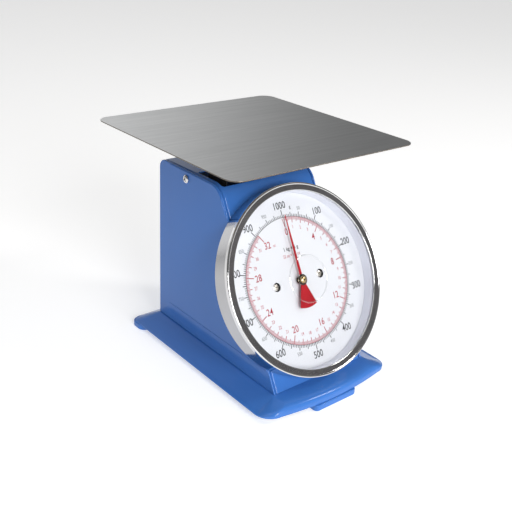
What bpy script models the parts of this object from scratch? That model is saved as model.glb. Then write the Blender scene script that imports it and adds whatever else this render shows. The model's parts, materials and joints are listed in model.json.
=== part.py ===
"""Mechanical dial platform scale, 1 kg by 5 g, as an assembly of separate pieces.

Frame: origin on the floor under the middle of the object, +Z up, the dial faces -Y,
+X is on the right of someone reading the dial. Lengths are in metres.
"""

import bpy
import bmesh
from math import asin, atan2, cos, pi, radians, sin, sqrt, tan
from mathutils import Matrix, Vector

# ---------------------------------------------------------------- driving dimensions
GAP = 0.0003                    # between pieces that touch

PLATFORM_WIDTH = 0.235
PLATFORM_DEPTH = 0.237
PLATFORM_CORNER = 0.014
PLATFORM_TOP = 0.249            # top of the platform above the floor
PLATFORM_SHEET = 0.0012
COLUMN_Y = 0.0183               # the platform's middle, and the line that carries the load

DIAL_TILT = radians(28.4)       # how far the dial leans back from upright
DIAL_Y = -0.0668                # middle of the dial face
DIAL_Z = 0.112
CASE_RADIUS = 0.0983            # outside of the round dial case
BEZEL_RADIUS = 0.0994           # outside of the rolled bezel edge
BEZEL_OPENING = 0.0911
CASE_BACK = -0.0067             # heights over the dial face, along the dial's axis
CASE_FRONT = 0.0134
PANEL_DEPTH = -0.0070           # outside of the sloping front panel, behind the dial face

BODY_HALF = 0.0622              # half the housing's width, over the side panels
BODY_REAR = 0.0996
BODY_TOP = 0.2075
BODY_BOTTOM = 0.0189
FRONT_ROUND = 0.022             # radius where the front panel turns into the top
REAR_ROUND = 0.010
SIDE_SHEET = 0.0022
FIELD_RISE = 0.0007             # how far the side panel's field stands out
PANEL_SHEET = 0.0010
PANEL_HALF = BODY_HALF - SIDE_SHEET - GAP
OPENING_HALF = 0.056            # half the width of the slot in the housing's top
OPENING_Y = (-0.005, 0.038)

BASE_HALF = 0.088
BASE_REAR = 0.1198
BASE_EDGE = 0.0073              # lower edge of the base's skirt
BASE_TOP = 0.0186
FRONT_CORNERS = 1.9             # radius of the base's front corners over its rear ones
FOOT_FRONT = -0.1368
PLATE_THICKNESS = 0.0015

MODULE = 0.0005                 # rack and pinion
PINION_TEETH = 10
PRESSURE_ANGLE = radians(20)
PITCH_RADIUS = MODULE * PINION_TEETH / 2
RACK_TRAVEL = 2 * pi * PITCH_RADIUS             # one turn of the pointer
TRAVEL = RACK_TRAVEL * cos(DIAL_TILT)           # the platform's travel at full load
BACKLASH = 0.00012
ARBOR_RADIUS = 0.0012
PINION_DEPTH = -0.0325          # middle of the pinion behind the dial face

ARM_LENGTH = 0.060              # check links that keep the platform level
ARM_PIVOT_Y = COLUMN_Y + ARM_LENGTH
UPPER_ARM_Z = 0.170
LOWER_ARM_Z = 0.080
ARM_TILT = asin(TRAVEL / 2 / ARM_LENGTH)        # up at rest, down by as much at full load
PIN_RADIUS = 0.0020
LEG_INNER = 0.0435              # inner face of the platform bracket's legs
LEG_SHEET = 0.0015

SIDE_SCREW = (0.0472, 0.1988)                   # (Y, Z)
REAR_SCREWS = [(-0.024, 0.034), (0.024, 0.034), (-0.024, 0.172), (0.024, 0.172)]
DIAL_SCREW_X = 0.0298

SPRING_X = 0.018
SPRING_RADIUS = 0.0062
SPRING_WIRE = 0.0007
BAR_RADIUS = 0.0025
BAR_Z = 0.060
HANGER_Z = 0.174

DIAL_STEPS = 64                 # sides of the dial's large round pieces
DIAL_CENTRE = Vector((0, DIAL_Y, DIAL_Z))
DIAL_FRAME = Matrix.Translation(DIAL_CENTRE) @ Matrix.Rotation(pi / 2 - DIAL_TILT, 4, 'X')
DIAL_NORMAL = Vector((0, -cos(DIAL_TILT), sin(DIAL_TILT)))
DIAL_UP = Vector((0, sin(DIAL_TILT), cos(DIAL_TILT)))

# an outline drawn in (Y, Z) and thickened along X
SIDE_FRAME = Matrix(((0, 0, 1, 0), (1, 0, 0, 0), (0, 1, 0, 0), (0, 0, 0, 1)))
# an outline drawn in (X, Z) and thickened along -Y
BACK_FRAME = Matrix(((1, 0, 0, 0), (0, 0, -1, 0), (0, 1, 0, 0), (0, 0, 0, 1)))

COLOURS = {                     # base colour, metallic, roughness
    "blue_paint": ((0.055, 0.165, 0.480), 0.0, 0.32),
    "stainless": ((0.60, 0.59, 0.57), 1.0, 0.34),
    "chrome": ((0.80, 0.80, 0.80), 1.0, 0.08),
    "clear": ((0.95, 0.97, 0.98), 0.0, 0.04),
    "white": ((0.90, 0.90, 0.91), 0.0, 0.45),
    "red": ((0.62, 0.02, 0.02), 0.0, 0.40),
    "brass": ((0.72, 0.48, 0.20), 1.0, 0.25),
    "steel": ((0.45, 0.46, 0.48), 1.0, 0.40),
    "black": ((0.02, 0.02, 0.02), 0.0, 0.50),
}


# ---------------------------------------------------------------- modelling helpers
def clear_scene():
    for item in list(bpy.data.objects):
        bpy.data.objects.remove(item, do_unlink=True)


def collection(name):
    group = bpy.data.collections.new(name)
    bpy.context.scene.collection.children.link(group)
    return group


clear_scene()
PARTS = collection("dial_platform_scale")
CUTTERS = collection("cutters")
MATERIALS = {}


def material(name):
    if name not in MATERIALS:
        colour, metallic, roughness = COLOURS[name]
        made = bpy.data.materials.new(name)
        made.use_nodes = True
        shader = made.node_tree.nodes["Principled BSDF"]
        shader.inputs["Base Color"].default_value = (*colour, 1)
        shader.inputs["Metallic"].default_value = metallic
        shader.inputs["Roughness"].default_value = roughness
        MATERIALS[name] = made
    return MATERIALS[name]


def add(name, mesh, finish, matrix=None, smooth=None):
    """Put a mesh in the parts collection as one named object."""
    made = bpy.data.objects.new(name, mesh)
    PARTS.objects.link(made)
    if matrix is not None:
        made.matrix_world = matrix
    mesh.materials.clear()
    mesh.materials.append(material(finish))
    if smooth is not None:
        mesh.shade_smooth()
        mesh.set_sharp_from_angle(angle=radians(smooth))
    return made


def as_cutter(made):
    PARTS.objects.unlink(made)
    CUTTERS.objects.link(made)
    made.hide_render = True
    made.display_type = 'WIRE'
    return made


def cut(target, cutter, operation='DIFFERENCE'):
    step = target.modifiers.new(operation.lower(), 'BOOLEAN')
    step.operation = operation
    step.solver = 'EXACT'
    step.object = as_cutter(cutter)
    return target


def bevel(target, width, segments=2, angle=40):
    step = target.modifiers.new("bevel", 'BEVEL')
    step.width = width
    step.segments = segments
    step.limit_method = 'ANGLE'
    step.angle_limit = radians(angle)
    return target


def solidify(target, thickness, offset=-1):
    step = target.modifiers.new("sheet", 'SOLIDIFY')
    step.thickness = thickness
    step.offset = offset
    step.use_even_offset = True
    return target


def arc(centre, radius, start, end, steps):
    """Points of an arc in degrees, both ends included."""
    turns = [radians(start + (end - start) * i / steps) for i in range(steps + 1)]
    return [(centre[0] + radius * cos(t), centre[1] + radius * sin(t)) for t in turns]


def circle(centre, radius, count=24):
    return arc(centre, radius, 0, 360 - 360 / count, count - 1)


def rounded(low, high, radius, steps=4):
    """A rectangle with round corners, counter-clockwise."""
    (x0, y0), (x1, y1) = low, high
    return (arc((x1 - radius, y0 + radius), radius, -90, 0, steps)
            + arc((x1 - radius, y1 - radius), radius, 0, 90, steps)
            + arc((x0 + radius, y1 - radius), radius, 90, 180, steps)
            + arc((x0 + radius, y0 + radius), radius, 180, 270, steps))


def baked(curve_object):
    """The mesh that a curve object makes, with its caps welded on."""
    graph = bpy.context.evaluated_depsgraph_get()
    mesh = bpy.data.meshes.new_from_object(curve_object.evaluated_get(graph))
    solid = bmesh.new()
    solid.from_mesh(mesh)
    bmesh.ops.remove_doubles(solid, verts=solid.verts, dist=1e-6)
    bmesh.ops.recalc_face_normals(solid, faces=solid.faces)
    solid.to_mesh(mesh)
    solid.free()
    bpy.data.objects.remove(curve_object)
    return mesh


def plate(name, outline, low, high, finish, frame=None, holes=(), smooth=30):
    """A flat outline, with holes, filling low to high along its frame's third axis."""
    curve = bpy.data.curves.new(name, 'CURVE')
    curve.dimensions = '2D'
    curve.fill_mode = 'BOTH'
    curve.extrude = (high - low) / 2
    for loop in (outline, *holes):
        spline = curve.splines.new('POLY')
        spline.points.add(len(loop) - 1)
        spline.use_cyclic_u = True
        for point, (x, y) in zip(spline.points, loop):
            point.co = (x, y, 0, 1)
    guide = bpy.data.objects.new(name, curve)
    PARTS.objects.link(guide)
    mesh = baked(guide)
    mesh.transform(Matrix.Translation((0, 0, (low + high) / 2)))
    return add(name, mesh, finish, frame, smooth)


def box(name, low, high, finish, frame=None):
    solid = bmesh.new()
    bmesh.ops.create_cube(solid, size=1)
    size = Vector(high) - Vector(low)
    middle = (Vector(high) + Vector(low)) / 2
    placing = Matrix.Translation(middle) @ Matrix.Diagonal((*size, 1))
    bmesh.ops.transform(solid, matrix=placing, verts=solid.verts)
    mesh = bpy.data.meshes.new(name)
    solid.to_mesh(mesh)
    solid.free()
    return add(name, mesh, finish, frame)


def rod(name, radius, low, high, finish, frame=None, count=20):
    """A round bar along its frame's third axis."""
    solid = bmesh.new()
    bmesh.ops.create_cone(solid, cap_ends=True, segments=count, radius1=radius, radius2=radius,
                          depth=high - low)
    bmesh.ops.translate(solid, vec=(0, 0, (low + high) / 2), verts=solid.verts)
    mesh = bpy.data.meshes.new(name)
    solid.to_mesh(mesh)
    solid.free()
    return add(name, mesh, finish, frame, 40)


def turned(name, profile, finish, frame=None, steps=48, closed=True):
    """Turn (radius, height) points about the third axis.

    The points run down the outer side and back up the inner side.
    """
    mesh = bpy.data.meshes.new(name)
    count = len(profile)
    edges = [(i, i + 1) for i in range(count - 1)] + ([(count - 1, 0)] if closed else [])
    mesh.from_pydata([(r, 0, z) for r, z in profile], edges, [])
    made = add(name, mesh, finish, frame)
    step = made.modifiers.new("turn", 'SCREW')
    step.axis = 'Z'
    step.steps = steps
    step.render_steps = steps
    step.use_merge_vertices = True
    step.merge_threshold = 1e-5
    step.use_smooth_shade = True
    return made


def loft(name, rings, finish, frame=None, loop=True, smooth=35):
    """A surface through rings of points; the faces look out when rings run outward."""
    mesh = bpy.data.meshes.new(name)
    count = len(rings[0])
    reach = count if loop else count - 1
    faces = [(k * count + i, (k + 1) * count + i, (k + 1) * count + (i + 1) % count,
              k * count + (i + 1) % count)
             for k in range(len(rings) - 1) for i in range(reach)]
    mesh.from_pydata([p for ring in rings for p in ring], [], faces)
    return add(name, mesh, finish, frame, smooth)


def wire(name, points, radius, finish, sides=1):
    """A round wire through points, with filled caps."""
    curve = bpy.data.curves.new(name, 'CURVE')
    curve.dimensions = '3D'
    curve.bevel_depth = radius
    curve.bevel_resolution = sides
    curve.use_fill_caps = True
    spline = curve.splines.new('POLY')
    spline.points.add(len(points) - 1)
    for point, place in zip(spline.points, points):
        point.co = (*place, 1)
    guide = bpy.data.objects.new(name, curve)
    PARTS.objects.link(guide)
    return add(name, baked(guide), finish, None, 60)


def axis_empty(name, place, direction=(0, 0, 1)):
    """An empty on a joint's axis, for the pieces that move with it."""
    made = bpy.data.objects.new(name, None)
    made.empty_display_size = 0.02
    PARTS.objects.link(made)
    turn = Vector((0, 0, 1)).rotation_difference(Vector(direction)).to_matrix().to_4x4()
    made.matrix_world = Matrix.Translation(place) @ turn
    return made


def carry(empty, *pieces):
    bpy.context.view_layer.update()
    for piece in pieces:
        piece.parent = empty
        piece.matrix_parent_inverse = empty.matrix_world.inverted()


def x_rod(name, radius, x0, x1, y, z, finish, count=20):
    frame = Matrix.Translation((0, y, z)) @ Matrix.Rotation(pi / 2, 4, 'Y')
    return rod(name, radius, x0, x1, finish, frame, count)


def pan_head_screw(name, frame, radius, height, shank_radius, shank_length):
    """A cross-recessed screw: the head stands above the frame's origin, the shank below."""
    crown = [(radius * sin(t), height * (0.35 + 0.65 * cos(t)))
             for t in (radians(a) for a in (0, 45, 90))]
    profile = [*crown, (radius, 0), (shank_radius, 0), (shank_radius, -shank_length),
               (0, -shank_length)]
    made = turned(name, profile, "chrome", frame, 14, closed=False)
    half, arm = radius * 0.14, radius * 0.55
    for x, y in ((half, arm), (arm, half)):
        recess = box(name + "_recess", (-x, -y, height * 0.45), (x, y, height * 1.5),
                     "chrome", frame)
        cut(made, recess)
    return made


# ---------------------------------------------------------------- base
def base_ring(half, rear, front, bow, corner, side_z, front_z):
    """One ring of the base shell: straight sides and rear, bowed front, round corners.

    The front edge may stand at another height than the sides; its corners, which are
    rounder than the rear ones, blend the two.
    """
    steps, front_steps = 5, 8
    ring = []
    turn = FRONT_CORNERS * corner
    reach = half - turn
    for i in range(1, front_steps):
        x = -reach + 2 * reach * i / front_steps
        ring.append((x, front - bow * (1 - (x / reach) ** 2), front_z))
    inner = half - corner
    corners = ((reach, front + turn, turn, -90, 1, 0), (inner, rear - corner, corner, 0, 0, 0),
               (-inner, rear - corner, corner, 90, 0, 0), (-reach, front + turn, turn, 180, 0, 1))
    for cx, cy, radius, start, weight_from, weight_to in corners:
        for i, (x, y) in enumerate(arc((cx, cy), radius, start, start + 90, steps)):
            weight = weight_from + (weight_to - weight_from) * i / steps
            ring.append((x, y, side_z + (front_z - side_z) * weight))
    return ring


def base_shell():
    # half width, rear, front at the corners, bow, corner radius, side height, front height
    sections = (
        (0.0580, 0.0988, -0.1050, 0.0000, 0.003, BASE_TOP, BASE_TOP),
        (0.0628, 0.1002, -0.1099, 0.0000, 0.003, BASE_TOP, BASE_TOP),
        (0.0648, 0.1022, -0.1130, 0.0005, 0.004, 0.0178, 0.0184),
        (0.0680, 0.1050, -0.1190, 0.0030, 0.005, 0.0163, 0.0180),
        (0.0760, 0.1115, -0.1240, 0.0050, 0.008, 0.0128, 0.0170),
        (0.0830, 0.1165, -0.1273, 0.0062, 0.009, 0.0098, 0.0150),
        (BASE_HALF, BASE_REAR, -0.1290, 0.0064, 0.010, 0.0083, 0.0112),
        (BASE_HALF, BASE_REAR, -0.1290, 0.0064, 0.010, BASE_EDGE, BASE_EDGE),
    )
    made = loft("base_shell", [base_ring(*row) for row in sections], "blue_paint")
    return solidify(made, 0.0010)


def bottom_plate():
    margin = 0.0085             # clear of the shell's sloping sides
    outline = rounded((-BASE_HALF + margin, -0.1250), (BASE_HALF - margin, BASE_REAR - margin),
                      0.010)
    return plate("bottom_plate", outline, BASE_EDGE, BASE_EDGE + PLATE_THICKNESS, "steel")


def feet():
    """Three feet: one under the middle of the front edge, one under each rear corner."""
    top = BASE_EDGE - GAP
    front = rounded((-0.029, FOOT_FRONT), (0.029, -0.116), 0.005)
    rear = rounded((0.062, 0.097), (0.0886, 0.1216), 0.009)
    mirrored = [(-x, y) for x, y in reversed(rear)]
    for name, outline in (("front_foot", front), ("rear_right_foot", rear),
                          ("rear_left_foot", mirrored)):
        bevel(plate(name, outline, 0, top, "blue_paint"), 0.0008, 1, 60)


# ---------------------------------------------------------------- housing
def front_y(z, depth=PANEL_DEPTH):
    """Y of the sloping front at a height, for a plane this far over the dial face."""
    return DIAL_Y - depth / cos(DIAL_TILT) + (z - DIAL_Z) * tan(DIAL_TILT)


def front_arc(radius, steps):
    """The turn from the sloping front to the level top, in (Y, Z)."""
    reach = FRONT_ROUND * tan((pi / 2 - DIAL_TILT) / 2)
    centre = (front_y(BODY_TOP) + reach, BODY_TOP - FRONT_ROUND)
    return arc(centre, radius, 180 - DIAL_TILT * 180 / pi, 90, steps)


def housing_profile(front_steps=8, rear_steps=5):
    """Side view of the housing from the foot of the front panel to the top of the rear."""
    rear_centre = (BODY_REAR - REAR_ROUND, BODY_TOP - REAR_ROUND)
    return ([(front_y(BODY_BOTTOM), BODY_BOTTOM)] + front_arc(FRONT_ROUND, front_steps)
            + arc(rear_centre, REAR_ROUND, 90, 0, rear_steps))


def side_outline():
    """The side panel's outline, counter-clockwise in (Y, Z)."""
    return [(BODY_REAR, BODY_BOTTOM), *reversed(housing_profile())]


def side_panel(name, side):
    """A flat side with soft edges and a raised field pressed out of it."""
    low, high = sorted((side * (BODY_HALF - SIDE_SHEET), side * BODY_HALF))
    made = plate(name, side_outline(), low, high, "blue_paint", SIDE_FRAME)
    bevel(made, 0.0009, 2, 50)
    rear, foot, margin = 0.0792, 0.0400, 0.0012
    field = [(rear, foot), (rear, BODY_TOP - margin),
             *reversed(front_arc(FRONT_ROUND - margin, 8)),
             (front_y(foot) + margin / cos(DIAL_TILT), foot)]
    face = side * BODY_HALF
    low, high = sorted((face - side * 0.001, face + side * FIELD_RISE))
    raised = plate(name + "_field", field, low, high, "blue_paint", SIDE_FRAME)
    cut(made, raised, 'UNION')
    return cut(made, x_rod(name + "_hole", 0.0017, -0.07, 0.07, *SIDE_SCREW, "black", 12))


def front_panel():
    """One sheet: the sloping front, the rounded top and the turn down at the rear."""
    foot = BODY_BOTTOM + 2 * GAP
    profile = [(front_y(foot), foot), *housing_profile()[1:], (BODY_REAR, 0.1905)]
    flange, bend = 0.008, 0.0016
    across = [(-PANEL_HALF, flange), (-PANEL_HALF, bend), (-PANEL_HALF + 0.0005, 0.0005),
              (-PANEL_HALF + bend, 0)]
    across += [(-x, inset) for x, inset in reversed(across)]
    rows = []
    for i, (y, z) in enumerate(profile):
        before, after = profile[max(i - 1, 0)], profile[min(i + 1, len(profile) - 1)]
        along = Vector((after[0] - before[0], after[1] - before[1])).normalized()
        inward = Vector((along.y, -along.x))
        if i == 0:                                  # cut level along the foot
            inward = Vector((1 / cos(DIAL_TILT), 0))
        rows.append([(x, y + inward.x * inset, z + inward.y * inset) for x, inset in across])
    made = loft("front_panel", rows[::-1], "blue_paint", loop=False)
    solidify(made, PANEL_SHEET)
    slot = box("top_slot", (-OPENING_HALF, OPENING_Y[0], BODY_TOP - 0.004),
               (OPENING_HALF, OPENING_Y[1], BODY_TOP + 0.004), "black")
    cut(made, slot)
    cut(made, rod("shaft_hole", 0.013, -0.020, 0.0, "black", DIAL_FRAME, 32))
    for x in (-DIAL_SCREW_X, DIAL_SCREW_X):
        place = DIAL_FRAME @ Matrix.Translation((x, 0, 0))
        cut(made, rod("screw_hole", 0.0019, -0.020, 0.0, "black", place, 12))
    return made


def rear_cover():
    outline = rounded((-0.0594, 0.0192), (0.0594, 0.1898), 0.004)
    holes = [circle((x, z), 0.0019, 12) for x, z in REAR_SCREWS]
    return plate("rear_cover", outline, -BODY_REAR, -BODY_REAR + PANEL_SHEET, "blue_paint",
                 BACK_FRAME, holes)


def housing_screws():
    side_turn = {-1: Matrix.Rotation(-pi / 2, 4, 'Y'), 1: Matrix.Rotation(pi / 2, 4, 'Y')}
    for side, name in ((-1, "left_side_screw"), (1, "right_side_screw")):
        place = Matrix.Translation((side * (BODY_HALF + FIELD_RISE + GAP), *SIDE_SCREW))
        pan_head_screw(name, place @ side_turn[side], 0.0044, 0.0022, 0.0014, SIDE_SHEET)
    for i, (x, z) in enumerate(REAR_SCREWS, 1):
        place = Matrix.Translation((x, BODY_REAR + GAP, z)) @ Matrix.Rotation(-pi / 2, 4, 'X')
        pan_head_screw(f"rear_screw_{i}", place, 0.0034, 0.0018, 0.0015, 0.0040)


# ---------------------------------------------------------------- dial
def dial_case():
    """A round steel case, open in front, with a hole for the pointer's shaft."""
    wall, floor = 0.0008, 0.0008
    inner = CASE_RADIUS - wall
    profile = [(CASE_RADIUS, CASE_FRONT), (CASE_RADIUS, CASE_BACK), (0.0034, CASE_BACK),
               (0.0034, CASE_BACK + floor), (inner, CASE_BACK + floor), (inner, CASE_FRONT)]
    made = turned("dial_case", profile, "chrome", DIAL_FRAME, DIAL_STEPS)
    for x in (-DIAL_SCREW_X, DIAL_SCREW_X):
        place = DIAL_FRAME @ Matrix.Translation((x, 0, 0))
        cut(made, rod("case_hole", 0.0019, -0.009, -0.004, "black", place, 12))
    return made


def bezel():
    """A rolled ring: a bead outside, a face that falls inward, a short skirt over the case."""
    bead = 0.0019
    roll = arc((BEZEL_RADIUS - bead, 0.0152), bead, 110, -20, 5)
    profile = [(BEZEL_OPENING, 0.0152), *roll, (0.0990, 0.0115), (0.0986, 0.0115),
               (0.0986, 0.0146), (BEZEL_OPENING, 0.0146)]
    return turned("bezel", profile, "chrome", DIAL_FRAME, DIAL_STEPS)


def lens():
    """A clear cover, slightly domed, with a round rib moulded round its middle."""
    rim, rib, thick = 0.0970, 0.0241, 0.0012
    flat_top, rise, dome = 0.0143, 0.0022, 0.0900

    def height(r):
        return flat_top + rise * (1 - (min(r, dome) / dome) ** 2)

    top = [(r, height(r)) for r in (0.0, rib - 0.0012)]
    top += [(rib, height(rib) + 0.0005)]
    top += [(r, height(r)) for r in (rib + 0.0012, 0.050, 0.072, dome)]
    under = [(r, height(r) - thick) for r in (dome, 0.060, 0.030, 0.0)]
    profile = [*top, (rim, flat_top), (rim, flat_top - thick), *under]
    return turned("lens", profile, "clear", DIAL_FRAME, DIAL_STEPS, closed=False)


def dial_ring():
    """The white wall between the dial face and the lens."""
    foot, top = GAP, 0.0128
    profile = [(0.0971, top), (0.0971, top - 0.0012), (0.0928, top - 0.0012), (0.0928, foot),
               (0.0916, foot), (0.0916, top)]
    return turned("dial_ring", profile, "white", DIAL_FRAME, DIAL_STEPS)


def dial_plate():
    """The printed face, with a rim turned back to the case's floor."""
    rim, sheet, foot = 0.0965, 0.0008, CASE_BACK + 0.0008 + GAP
    profile = [(rim, 0), (rim, foot), (rim - sheet, foot), (rim - sheet, -sheet),
               (0.0034, -sheet), (0.0034, 0)]
    made = turned("dial_plate", profile, "white", DIAL_FRAME, DIAL_STEPS)
    for x in (-DIAL_SCREW_X, DIAL_SCREW_X):
        place = DIAL_FRAME @ Matrix.Translation((x, 0, 0))
        cut(made, rod("window", 0.0047, -0.002, 0.002, "black", place, 24))
    return made


def dial_screws():
    """They clamp the case to the front panel; their deep heads fill the face's windows."""
    seat, head = CASE_BACK + 0.0008 + GAP, 0.0048
    for name, x in (("left_dial_screw", -DIAL_SCREW_X), ("right_dial_screw", DIAL_SCREW_X)):
        place = DIAL_FRAME @ Matrix.Translation((x, 0, seat))
        pan_head_screw(name, place, 0.0040, head, 0.0015, 0.0062)


def pointer():
    """A slim red hand with a fan-shaped tail, one flat sheet."""
    tip, tail, spread, boss = 0.0690, 0.0294, 22.5, 0.0042
    outline = [(0.00025, tip), (-0.00025, tip), (-0.00135, boss)]
    outline += arc((0, 0), boss, 110, 230, 6)
    outline += arc((0, 0), tail, 270 - spread, 270 + spread, 8)
    outline += arc((0, 0), boss, -50, 70, 6)
    outline += [(0.00135, boss)]
    return plate("pointer", outline, 0.0049, 0.0055, "red", DIAL_FRAME,
                 [circle((0, 0), ARBOR_RADIUS + 0.0001, 16)])


def sleeve(name, radius, bore, low, high, finish, steps=24):
    profile = [(radius, high), (radius, low), (bore, low), (bore, high)]
    return turned(name, profile, finish, DIAL_FRAME, steps)


def pointer_hub():
    """Brass boss behind the hand, steel washer and brass cap in front of it."""
    bore = ARBOR_RADIUS + 0.0001
    boss = sleeve("pointer_boss", 0.0029, bore, 0.0015, 0.0046, "brass")
    washer = sleeve("pointer_washer", 0.0058, bore, 0.0058, 0.0063, "steel", 32)
    dome = [(0.0040 * sin(t), 0.0069 + 0.0022 * cos(t))
            for t in (radians(a) for a in (0, 25, 50, 70, 90))]
    cap = turned("pointer_cap", [*dome, (0.0040, 0.0066), (0, 0.0066)], "brass", DIAL_FRAME,
                 24, closed=False)
    return boss, washer, cap


# ---------------------------------------------------------------- movement
def involute(angle, base):
    """A point on the involute of a base circle, unrolled by an angle."""
    return Vector((base * (cos(angle) + angle * sin(angle)),
                   base * (sin(angle) - angle * cos(angle))))


def pinion_outline():
    """Ten involute teeth; one gap's middle faces +X, where the rack's tooth enters."""
    base = PITCH_RADIUS * cos(PRESSURE_ANGLE)
    tip = PITCH_RADIUS + MODULE
    root = PITCH_RADIUS - 1.25 * MODULE
    at_pitch = sqrt((PITCH_RADIUS / base) ** 2 - 1)
    at_tip = sqrt((tip / base) ** 2 - 1)
    half_tooth = (pi * MODULE / 2 - BACKLASH) / 2 / PITCH_RADIUS
    pitch_point = involute(at_pitch, base)
    start = -half_tooth - atan2(pitch_point.y, pitch_point.x)
    flank = [(root, start)]
    for i in range(4):
        point = involute(at_tip * i / 3, base)
        flank.append((point.length, start + atan2(point.y, point.x)))
    outline = []
    for tooth in range(PINION_TEETH):
        middle = 2 * pi * (tooth + 0.5) / PINION_TEETH
        sides = [(r, middle + t) for r, t in flank]
        sides += [(r, middle - t) for r, t in reversed(flank)]
        outline += [(r * cos(t), r * sin(t)) for r, t in sides]
    return outline


def rack_outline():
    """The rack in the dial's plane: teeth facing -X, a head at the top that hangs on the arm."""
    pitch = pi * MODULE
    tooth_tip, tooth_root, back = 0.55 * MODULE, 1.2 * MODULE, 0.0070
    slope = tan(PRESSURE_ANGLE)
    half = (pitch / 2 - BACKLASH) / 2
    first, last = -3, 13
    head_foot, head_top = 0.0541, 0.0600
    points = [(back, -0.0060)]
    points += [(PITCH_RADIUS + tooth_root, -0.0060)]
    for tooth in range(first, last + 1):
        y = tooth * pitch
        points += [(PITCH_RADIUS + tooth_root, y - half - tooth_root * slope),
                   (PITCH_RADIUS - tooth_tip, y - half + tooth_tip * slope),
                   (PITCH_RADIUS - tooth_tip, y + half - tooth_tip * slope),
                   (PITCH_RADIUS + tooth_root, y + half + tooth_root * slope)]
    points += [(PITCH_RADIUS + tooth_root, head_foot), (-0.0002, head_foot),
               (-0.0002, head_top), (0.0098, head_top), (0.0098, head_foot),
               (back, head_foot)]
    return points


def movement():
    """The fixed bracket with its bushes and the guide that keeps the rack in mesh."""
    sheet, half, rear, front = 0.0015, 0.0160, -0.0460, PANEL_DEPTH - PANEL_SHEET - GAP
    foot = 0.0345
    outline = [(-foot, front), (-foot, front - sheet), (-half - sheet, front - sheet),
               (-half - sheet, rear), (half + sheet, rear), (half + sheet, front - sheet),
               (foot, front - sheet), (foot, front), (half, front), (half, rear + sheet),
               (-half, rear + sheet), (-half, front)]
    bracket = plate("movement_bracket", outline, -0.012, 0.012, "steel",
                    DIAL_FRAME @ BACK_FRAME)
    cut(bracket, rod("bush_seat", 0.0033, rear - 0.002, rear + 0.004, "black", DIAL_FRAME, 24))
    for x in (-DIAL_SCREW_X, DIAL_SCREW_X):
        place = DIAL_FRAME @ Matrix.Translation((x, 0, 0))
        cut(bracket, rod("bracket_hole", 0.0019, -0.012, -0.006, "black", place, 12))
    bore = ARBOR_RADIUS + 0.0001
    sleeve("rear_bush", 0.0030, bore, rear - 0.0015, rear + 0.0035, "brass")
    front_seat = CASE_BACK + 0.0008 + GAP
    flange = [(0.0050, front_seat + 0.0010), (0.0050, front_seat), (0.0031, front_seat),
              (0.0031, front_seat - 0.0030), (bore, front_seat - 0.0030),
              (bore, front_seat + 0.0010)]
    turned("front_bush", flange, "brass", DIAL_FRAME, 24)
    box("rack_guide", (0.0073, -0.005, PINION_DEPTH - 0.003),
        (half - GAP, 0.005, PINION_DEPTH + 0.003), "white", DIAL_FRAME)


def pointer_drive():
    """Shaft and pinion that turn the hand."""
    arbor = rod("pinion_arbor", ARBOR_RADIUS, -0.0485, 0.0063, "steel", DIAL_FRAME, 16)
    pinion = plate("drive_pinion", pinion_outline(), PINION_DEPTH - 0.002,
                   PINION_DEPTH + 0.002, "brass", DIAL_FRAME,
                   [circle((0, 0), ARBOR_RADIUS + 0.0001, 16)])
    return arbor, pinion


def rack():
    return plate("rack", rack_outline(), PINION_DEPTH - 0.0015, PINION_DEPTH + 0.0015,
                 "brass", DIAL_FRAME)


# ---------------------------------------------------------------- frame, links and platform
def inner_frame():
    """A channel that stands on the bottom plate, open towards the front."""
    half, sheet, front, rear = 0.0315, 0.0015, 0.030, BODY_REAR - PANEL_SHEET - GAP
    outline = [(-half, rear), (-half, front), (-half + sheet, front),
               (-half + sheet, rear - sheet), (half - sheet, rear - sheet),
               (half - sheet, front), (half, front), (half, rear)]
    low = BASE_EDGE + PLATE_THICKNESS + GAP
    made = plate("inner_frame", outline, low, 0.186, "steel")
    for z in (UPPER_ARM_Z, LOWER_ARM_Z):
        cut(made, x_rod("pin_hole", PIN_RADIUS + GAP, -0.05, 0.05, ARM_PIVOT_Y, z, "black"))
    for x, z in REAR_SCREWS:
        place = Matrix.Translation((x, rear, z)) @ Matrix.Rotation(pi / 2, 4, 'X')
        cut(made, rod("cover_hole", 0.0019, -0.004, 0.004, "black", place, 12))
    return made


def frame_cap():
    """The shelf over the channel that carries the springs' adjuster."""
    outline = rounded((-0.0315, 0.006), (0.0315, 0.098), 0.003)
    return plate("frame_cap", outline, 0.1863, 0.1883, "steel",
                 holes=[circle((0, COLUMN_Y), 0.0028, 20)])


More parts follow.
